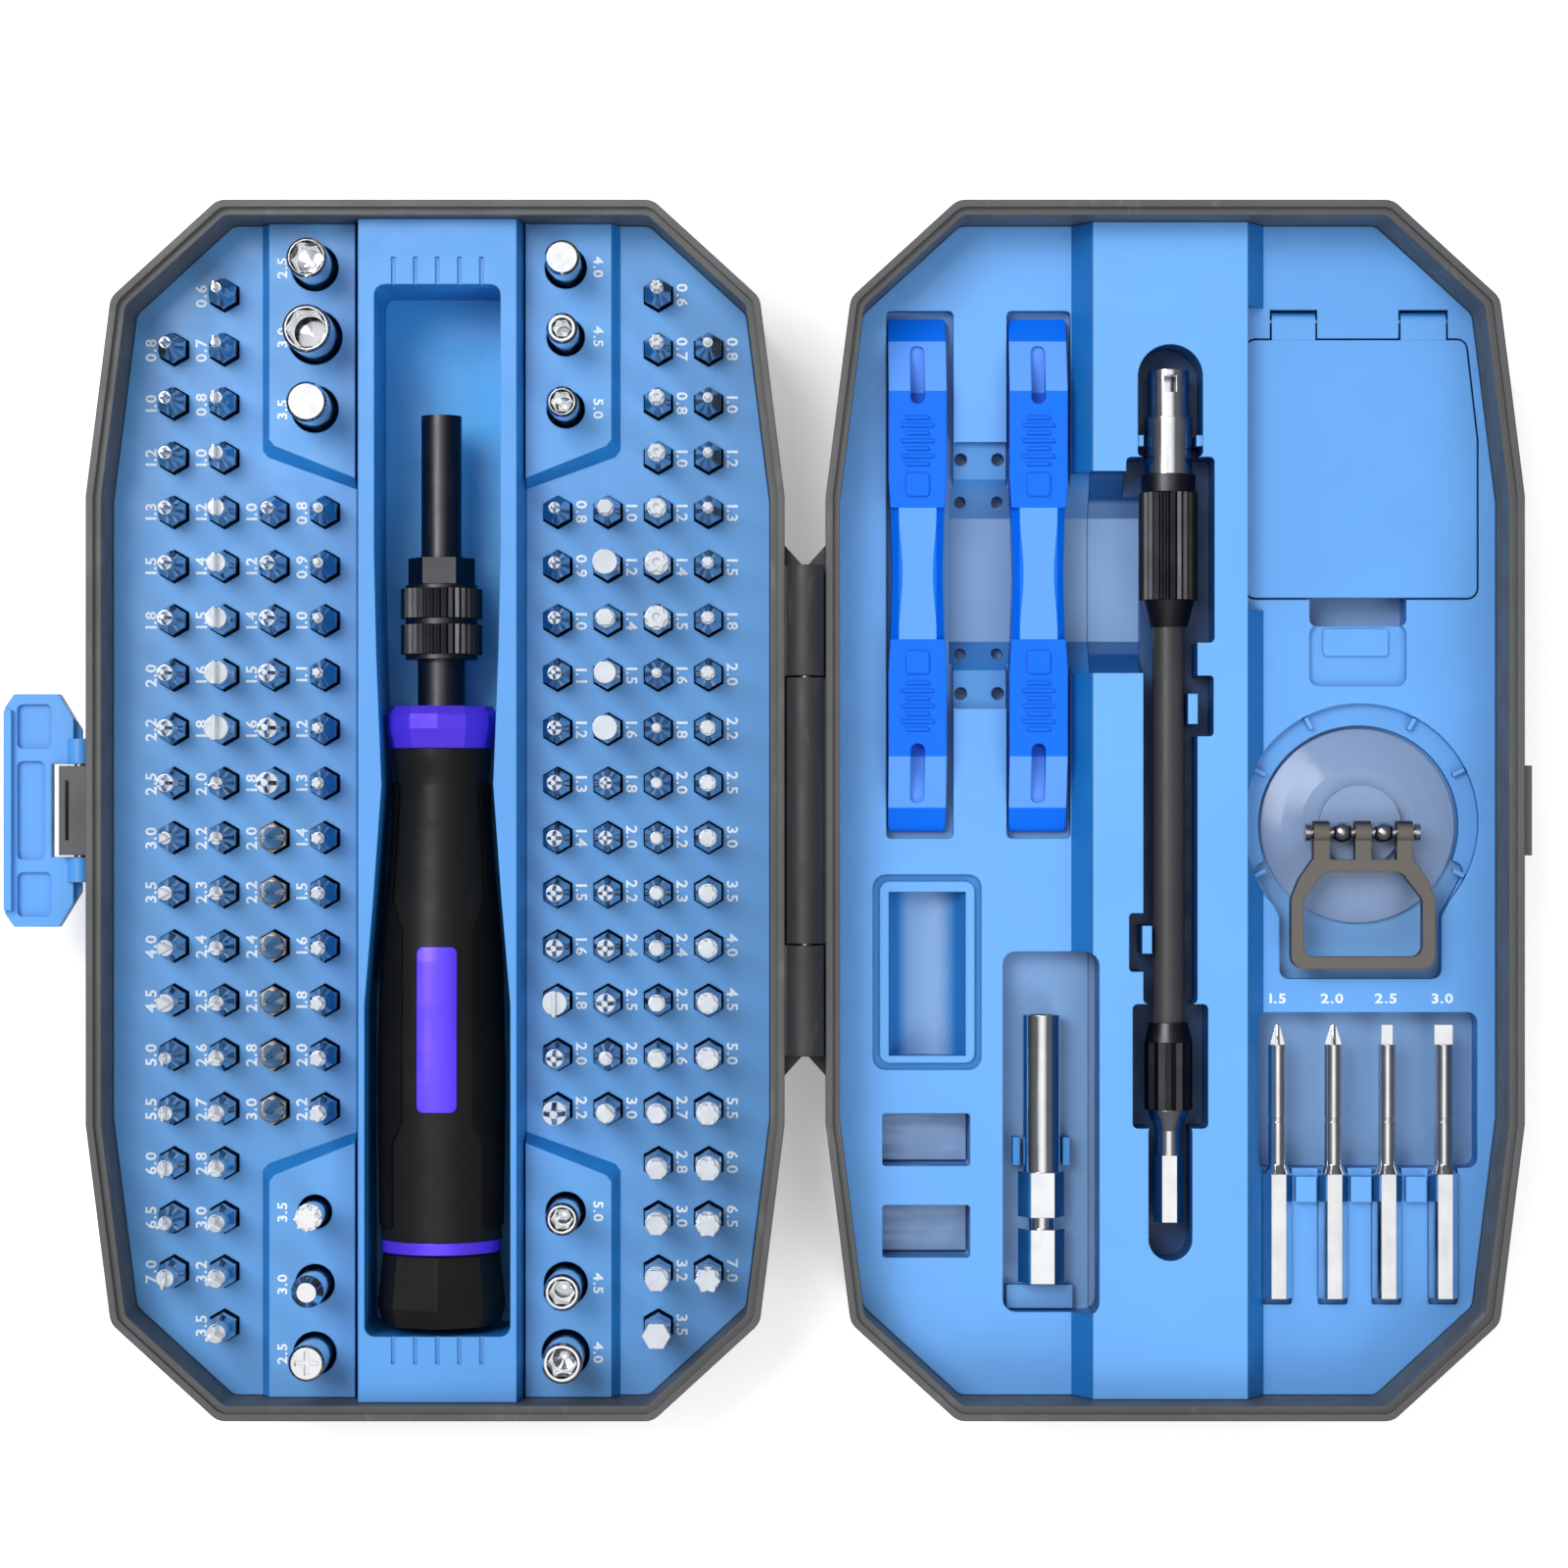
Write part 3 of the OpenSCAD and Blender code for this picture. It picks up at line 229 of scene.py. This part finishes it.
PAINT = {
    "shell_plastic": plastic("shell_grey", srgb(80, 80, 81), 0.5, 1500, 0.03, 0.08, 0.35,
                             wear=srgb(116, 115, 113)),
    # tray walls take a darker side colour as painted shade
    "tray_base": tray("tray_blue_base", BASE_PAINTED_LIGHT_AND_SHADE, (32, 124, 200)),
    "tray_lid": tray("tray_blue_lid", LID_PAINTED_LIGHT_AND_SHADE),
    "tray_left": tray("tray_blue_left", LEFT_PAINTED_LIGHT_AND_SHADE),
    "tray_strip": tray("tray_blue_strip", STRIP_PAINTED_LIGHT_AND_SHADE, (12, 74, 138)),
    "latch_plastic": plastic("latch_blue", srgb(78, 150, 222), 0.36, 1800, 0.01, 0.05, 0.3),
    "hinge_plastic": plastic("hinge_black", srgb(46, 46, 47), 0.5, 1800, 0.02, 0.1, 0.3,
                             wear=srgb(80, 80, 82)),
    "pin_steel": metal("pin_steel", (0.62, 0.62, 0.64, 1), 0.2, (1, 0.05, 1)),
    "bit_steel": metal("bit_steel", (0.62, 0.66, 0.72, 1), 0.12, (1, 1, 0.08), 0.12),
    "awl_steel": metal("awl_steel", (0.62, 0.66, 0.72, 1), 0.14, (1, 1, 0.08), 0.12,
                       near=(0.3, 0.25, 0.22, 1)),
    "round_steel": metal("round_steel", (0.8, 0.81, 0.83, 1), 0.1, (1, 0.08, 1), 0.1),
    "socket_chrome": metal("socket_chrome", (0.82, 0.83, 0.85, 1), 0.1, (1, 1, 0.08), 0.08),
    "magnet_steel": metal("magnet_plate", (0.26, 0.39, 0.62, 1), 0.42, (0.08, 1, 1), 0.1),
    "handle_plastic": plastic("handle_black", (0.01, 0.01, 0.01, 1), 0.34, 1500, 0.008, 0.15, 0.4,
                              Specular_IOR_Level=0.2),
    "handle_rubber": plastic("grip_rubber", (0.005, 0.005, 0.005, 1), 0.6, 2600, 0.03, 0.2, 0.3,
                             Specular_IOR_Level=0.12),
    "indigo_metal": plastic("indigo_metal", srgb(94, 64, 250), 0.3, 1200, 0.006, 0.08, 0.3, Metallic=0.45),
    "black_steel": metal("black_steel", (0.07, 0.07, 0.075, 1), 0.34, (1, 0.1, 1), 0.2),
    "rod_rubber": plastic("rod_rubber", (0.035, 0.035, 0.036, 1), 0.38, 2000, 0.02, 0.2, 0.2),
    "cup_rubber": plastic("cup_rubber", srgb(140, 164, 202), 0.14, 900, 0.004, 0.06, 0.3,
                          Transmission_Weight=0.25, IOR=1.42),
}


# Zones along a pry tool, as distances from its middle
WAIST_HALF = 10.2 * MM
END_FROM, END_SOFT = 28.3 * MM, 0.2 * MM
TIP_FROM, TIP_SOFT = 36.2 * MM, 0.3 * MM
# Half the width of the flat top painted lighter as painted light, at the middle of the waist and at its ends
FLAT_MIDDLE, FLAT_END = 2.35 * MM, 2.95 * MM


def pry_material(node):
    """Bright blue plastic with painted light and shade: the flat tops of the waist and of the two sloped ends
    are painted paler where they face the light, and the steep sides are painted darker.
    """
    t = Tree("pry_blue_" + node)
    center = middle(node)
    away = t.math("ABSOLUTE", t.math("SUBTRACT", t.axis("Y"), center.y))
    across = t.math("ABSOLUTE", t.math("SUBTRACT", t.axis("X"), center.x))
    width = t.remap(away, 0, WAIST_HALF, FLAT_MIDDLE, FLAT_END)
    inside = t.math("LESS_THAN", across, width)
    waist = t.math("MULTIPLY", inside, t.math("LESS_THAN", away, WAIST_HALF))
    end = t.remap(away, END_FROM, END_FROM + END_SOFT, 0, 1)
    tip = t.remap(away, TIP_FROM, TIP_FROM + TIP_SOFT, 1, 0)
    # painted light: the up-facing flats of the waist and the two ends are painted lighter
    painted_light = t.math("MAXIMUM", waist, t.math("MULTIPLY", end, tip))
    flat = t.remap(t.up(), 0.8, 0.95, 0, 1)
    tone = t.mix(t.math("MULTIPLY", painted_light, flat), srgb(0, 104, 232), srgb(92, 154, 250))
    # painted shade: the steep sides are painted darker
    painted_side_shade = t.remap(t.up(), 0.1, 0.75, 0, 1)
    tone = t.mix(painted_side_shade, srgb(0, 66, 190), tone)
    roughness = t.remap(t.noise(200, 4), 0.3, 0.7, 0.3, 0.42)
    return t.finish(tone, roughness, t.noise(1500, 3), 0.01, 0.35, Specular_IOR_Level=0.22)


def loop_material():
    """Dark plastic with a painted highlight: grey-brown on the flat top that faces the light, near black down
    its sides.
    """
    t = Tree("loop_painted_top_light")
    # painted highlight: faces that look up are painted grey-brown, the rest near black
    tone = t.mix(t.remap(t.up(), 0.5, 0.95, 0, 1), srgb(26, 26, 27), srgb(92, 87, 82))
    roughness = t.remap(t.noise(200, 4), 0.3, 0.7, 0.34, 0.46)
    return t.finish(tone, roughness, t.noise(1500, 3), 0.012, 0.35)


PAINT["loop_plastic"] = loop_material()
OWN_PAINT = {
    "lid_tray_left": PAINT["tray_left"],
    "lid_strip": PAINT["tray_strip"],
    "bits_c": PAINT["awl_steel"],
    "pry_tool_left": pry_material("pry_tool_left"),
    "pry_tool_right": pry_material("pry_tool_right"),
    "bit_adapter": PAINT["round_steel"],
    "rod_holder": PAINT["round_steel"],
    "rod_tip": PAINT["round_steel"],
    "long_bit_1": PAINT["round_steel"],
    "long_bit_2": PAINT["round_steel"],
    "long_bit_3": PAINT["round_steel"],
    "long_bit_4": PAINT["round_steel"],
}

SLOT_OF = {s["node"]: s["material_slot"] for s in frame["record"]["subparts"]}
for node, thing in NODES.items():
    name = SLOT_OF[node]
    if name == "tray_plastic":
        name = "tray_lid" if middle(node).x > 0 else "tray_base"
    thing.data.materials.clear()
    thing.data.materials.append(OWN_PAINT.get(node, PAINT.get(name)))


# Geometry helpers --------------------------------------------------------
def add(name, bm, material, body):
    """One new mesh piece in the row frame, riding a CAD body."""
    mesh = bpy.data.meshes.new(name)
    bm.to_mesh(mesh)
    bm.free()
    made = bpy.data.objects.new(name, mesh)
    scene.collection.objects.link(made)
    mesh.materials.append(material)
    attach(made, body)


# Lighting, floor, camera -------------------------------------------------
FLOOR_HALF = 6
CAMERA_HEIGHT = 0.6
CAMERA_SIDE = 0.45 * MM
CAMERA_LENS, CAMERA_SENSOR = 90, 36
CAMERA_SHIFT = (0.01, 0.0169)
LAMP_SIZE = (0.8, 0.8)
KEY_POWER, FILL_POWER = 15, 7
DOME_COLOR, DOME_STRENGTH = (0.96, 0.98, 1, 1), 0.62
# What shiny parts mirror, as (height, brightness): the dim room ends where the softbox starts
SOFTBOX = ((0.965, 0.9), (1.0, 1.25))


def studio():
    bm = bmesh.new()
    bmesh.ops.create_grid(bm, x_segments=4, y_segments=4, size=FLOOR_HALF)
    mesh = bpy.data.meshes.new("floor")
    bm.to_mesh(mesh)
    bm.free()
    floor = bpy.data.objects.new("floor", mesh)
    scene.collection.objects.link(floor)
    t = Tree("floor_paper")
    tone = t.mix(t.noise(6, 3), (0.93, 0.93, 0.93, 1), (0.96, 0.96, 0.96, 1))
    mesh.materials.append(t.finish(tone, t.remap(t.noise(40, 3), 0.3, 0.7, 0.75, 0.85), t.noise(700, 3), 0.02,
                                   0, Emission_Color=(1, 1, 1, 1), Emission_Strength=0.3))

    world = bpy.data.worlds.new("studio")
    scene.world = world
    world.use_nodes = True
    tree = world.node_tree
    tree.nodes.clear()
    coords = tree.nodes.new("ShaderNodeTexCoord")
    split = tree.nodes.new("ShaderNodeSeparateXYZ")
    ramp = tree.nodes.new("ShaderNodeValToRGB")
    back = tree.nodes.new("ShaderNodeBackground")
    out = tree.nodes.new("ShaderNodeOutputWorld")
    tree.links.new(coords.outputs["Generated"], split.inputs[0])
    tree.links.new(split.outputs["Z"], ramp.inputs["Fac"])
    tree.links.new(ramp.outputs["Color"], back.inputs["Color"])
    # what shiny parts mirror: a bright softbox overhead in a dim room
    stops = ramp.color_ramp.elements
    stops[0].position, stops[0].color = 0.0, (0.03, 0.03, 0.035, 1)
    stops[1].position, stops[1].color = 0.88, (0.16, 0.17, 0.19, 1)
    for place, level in SOFTBOX:
        stop = stops.new(place)
        stop.color = (level, level, level, 1)
    # what lights the scene: an even pale dome
    dome = tree.nodes.new("ShaderNodeBackground")
    dome.inputs["Color"].default_value = DOME_COLOR
    dome.inputs["Strength"].default_value = DOME_STRENGTH
    path = tree.nodes.new("ShaderNodeLightPath")
    pick = tree.nodes.new("ShaderNodeMixShader")
    tree.links.new(path.outputs["Is Glossy Ray"], pick.inputs[0])
    tree.links.new(dome.outputs[0], pick.inputs[1])
    tree.links.new(back.outputs[0], pick.inputs[2])
    tree.links.new(pick.outputs[0], out.inputs["Surface"])

    def lamp(name, spot, power, mirrored):
        data = bpy.data.lights.new(name, "AREA")
        data.shape = "RECTANGLE"
        data.size, data.size_y = LAMP_SIZE
        data.energy = power
        made = bpy.data.objects.new(name, data)
        made.location = spot
        made.visible_glossy = mirrored
        made.rotation_euler = (Vector((0, 0, 0)) - Vector(spot)).to_track_quat("-Z", "Y").to_euler()
        scene.collection.objects.link(made)

    lamp("key_light", (-0.6, 0.5, 1.3), KEY_POWER, True)
    lamp("fill_light", (0.6, -0.8, 1.0), FILL_POWER, False)

    camera = bpy.data.cameras.new("camera")
    camera.lens = CAMERA_LENS
    camera.sensor_width = CAMERA_SENSOR
    camera.shift_x, camera.shift_y = CAMERA_SHIFT
    made = bpy.data.objects.new("camera", camera)
    made.location = (CAMERA_SIDE, 0, RIM_Z + CAMERA_HEIGHT)
    scene.collection.objects.link(made)
    scene.camera = made
    scene.view_settings.view_transform = "Standard"


studio()


# Printed size marks ------------------------------------------------------
GLYPH_SIZE, GLYPH_BOLD, GLYPH_GAP = 1.4, 0.035, 0.12


def glyph_meshes():
    """Flat outlines of the digits and the point, 1 unit high, from the built-in typeface."""
    shapes = {}
    for char in "0123456789.":
        curve = bpy.data.curves.new("glyph", "FONT")
        curve.body = char
        curve.size = GLYPH_SIZE
        curve.resolution_u = 2
        curve.offset = GLYPH_BOLD
        made = bpy.data.objects.new("glyph", curve)
        mesh = bpy.data.meshes.new_from_object(made)
        points = [v.co.copy() for v in mesh.vertices]
        width = max(p.x for p in points) + GLYPH_GAP
        shapes[char] = (points, [tuple(f.vertices) for f in mesh.polygons], width)
        bpy.data.objects.remove(made)
        bpy.data.curves.remove(curve)
        bpy.data.meshes.remove(mesh)
    return shapes


GLYPHS = glyph_meshes()


def write(bm, text, at, height, angle, wide=1.0):
    """Numerals centred on a point, turned by angle about the vertical."""
    length = sum(GLYPHS[c][2] for c in text)
    turn = Matrix.Rotation(math.radians(angle), 4, "Z")
    x = -length / 2
    for char in text:
        points, faces, width = GLYPHS[char]
        made = []
        for p in points:
            local = Vector(((p.x + x) * wide, p.y - 0.5, 0)) * height
            made.append(bm.verts.new(Vector(at) + turn @ local))
        for f in faces:
            bm.faces.new([made[i] for i in f])
        x += width


print_white = Tree("print_white")
mark_tone = print_white.mix(print_white.noise(900, 3), srgb(196, 216, 236), srgb(250, 252, 255))
mark_rough = print_white.remap(print_white.noise(700, 3), 0.3, 0.7, 0.4, 0.6)
PAINT["print"] = print_white.finish(mark_tone, mark_rough, edge=0)

COLUMN_MARKS = [
    ["0.8", "1.0", "1.2", "1.3", "1.5", "1.8", "2.0", "2.2", "2.5", "3.0", "3.5", "4.0", "4.5", "5.0",
     "5.5", "6.0", "6.5", "7.0"],
    ["0.6", "0.7", "0.8", "1.0", "1.2", "1.4", "1.5", "1.6", "1.8", "2.0", "2.2", "2.3", "2.4", "2.5",
     "2.6", "2.7", "2.8", "3.0", "3.2", "3.5"],
    ["1.0", "1.2", "1.4", "1.5", "1.6", "1.8", "2.0", "2.2", "2.4", "2.5", "2.8", "3.0"],
    ["0.8", "0.9", "1.0", "1.1", "1.2", "1.3", "1.4", "1.5", "1.6", "1.8", "2.0", "2.2"],
]


# Spacing of the bit columns and rows, and the first column's distance from the middle, in mm
PITCH_X, PITCH_Y, FIRST = 7.85, 8.46, 18.15
LONGEST_COLUMN = 20
# Sockets: distance of their column from the middle, their rows and their sizes on each side
SOCKET_X = 19.5
SOCKET_ROWS = (84.4, 73.6, 62.4)
SOCKET_MARKS = {-1: ("2.5", "3.0", "3.5"), 1: ("4.0", "4.5", "5.0")}
# How far a mark stands from the middle of its pocket, in mm
BIT_MARK_GAP, SOCKET_MARK_GAP = 3.72, 5.1
# Long bits: their places across the lid, the row of marks, and their sizes
LONG_BITS = {17.1: "1.5", 25.8: "2.0", 34.2: "2.5", 43: "3.0"}
LONG_MARK_Y = -29.3
PRINT_LIFT = 0.03 * MM
PANEL_RISE = 2.5 * MM
MARK_HEIGHT, BIT_MARK_HEIGHT = 1.5 * MM, 1.7 * MM
BIT_MARK_WIDE, SOCKET_MARK_WIDE, LONG_MARK_WIDE = 1.1, 1.15, 1.25


def size_marks():
    for side, node in ((-1, "left"), (1, "right")):
        bm = bmesh.new()
        for k in range(4):
            marks = COLUMN_MARKS[3 - k]
            start = (LONGEST_COLUMN - len(marks)) / 2
            x = BASE_X + side * (FIRST + PITCH_X * k + BIT_MARK_GAP) * MM
            for i, text in enumerate(marks):
                y = PITCH_Y * ((LONGEST_COLUMN - 1) / 2 - start - i) * MM
                write(bm, text, (x, y, FIELD_Z + PRINT_LIFT), BIT_MARK_HEIGHT, 90 * -side, BIT_MARK_WIDE)
        x = BASE_X + side * (SOCKET_X + SOCKET_MARK_GAP) * MM
        for end in (1, -1):
            for row, text in zip(SOCKET_ROWS, SOCKET_MARKS[side]):
                spot = (x, end * row * MM, FIELD_Z + PANEL_RISE + PRINT_LIFT)
                write(bm, text, spot, MARK_HEIGHT, 90 * -side, SOCKET_MARK_WIDE)
        add(f"size_marks_{node}", bm, PAINT["print"], "base")
    bm = bmesh.new()
    for x, text in LONG_BITS.items():
        spot = (LID_X + x * MM, LONG_MARK_Y * MM, FIELD_Z + PRINT_LIFT)
        write(bm, text, spot, MARK_HEIGHT, 0, LONG_MARK_WIDE)
    add("size_marks_long_bits", bm, PAINT["print"], "lid")


size_marks()
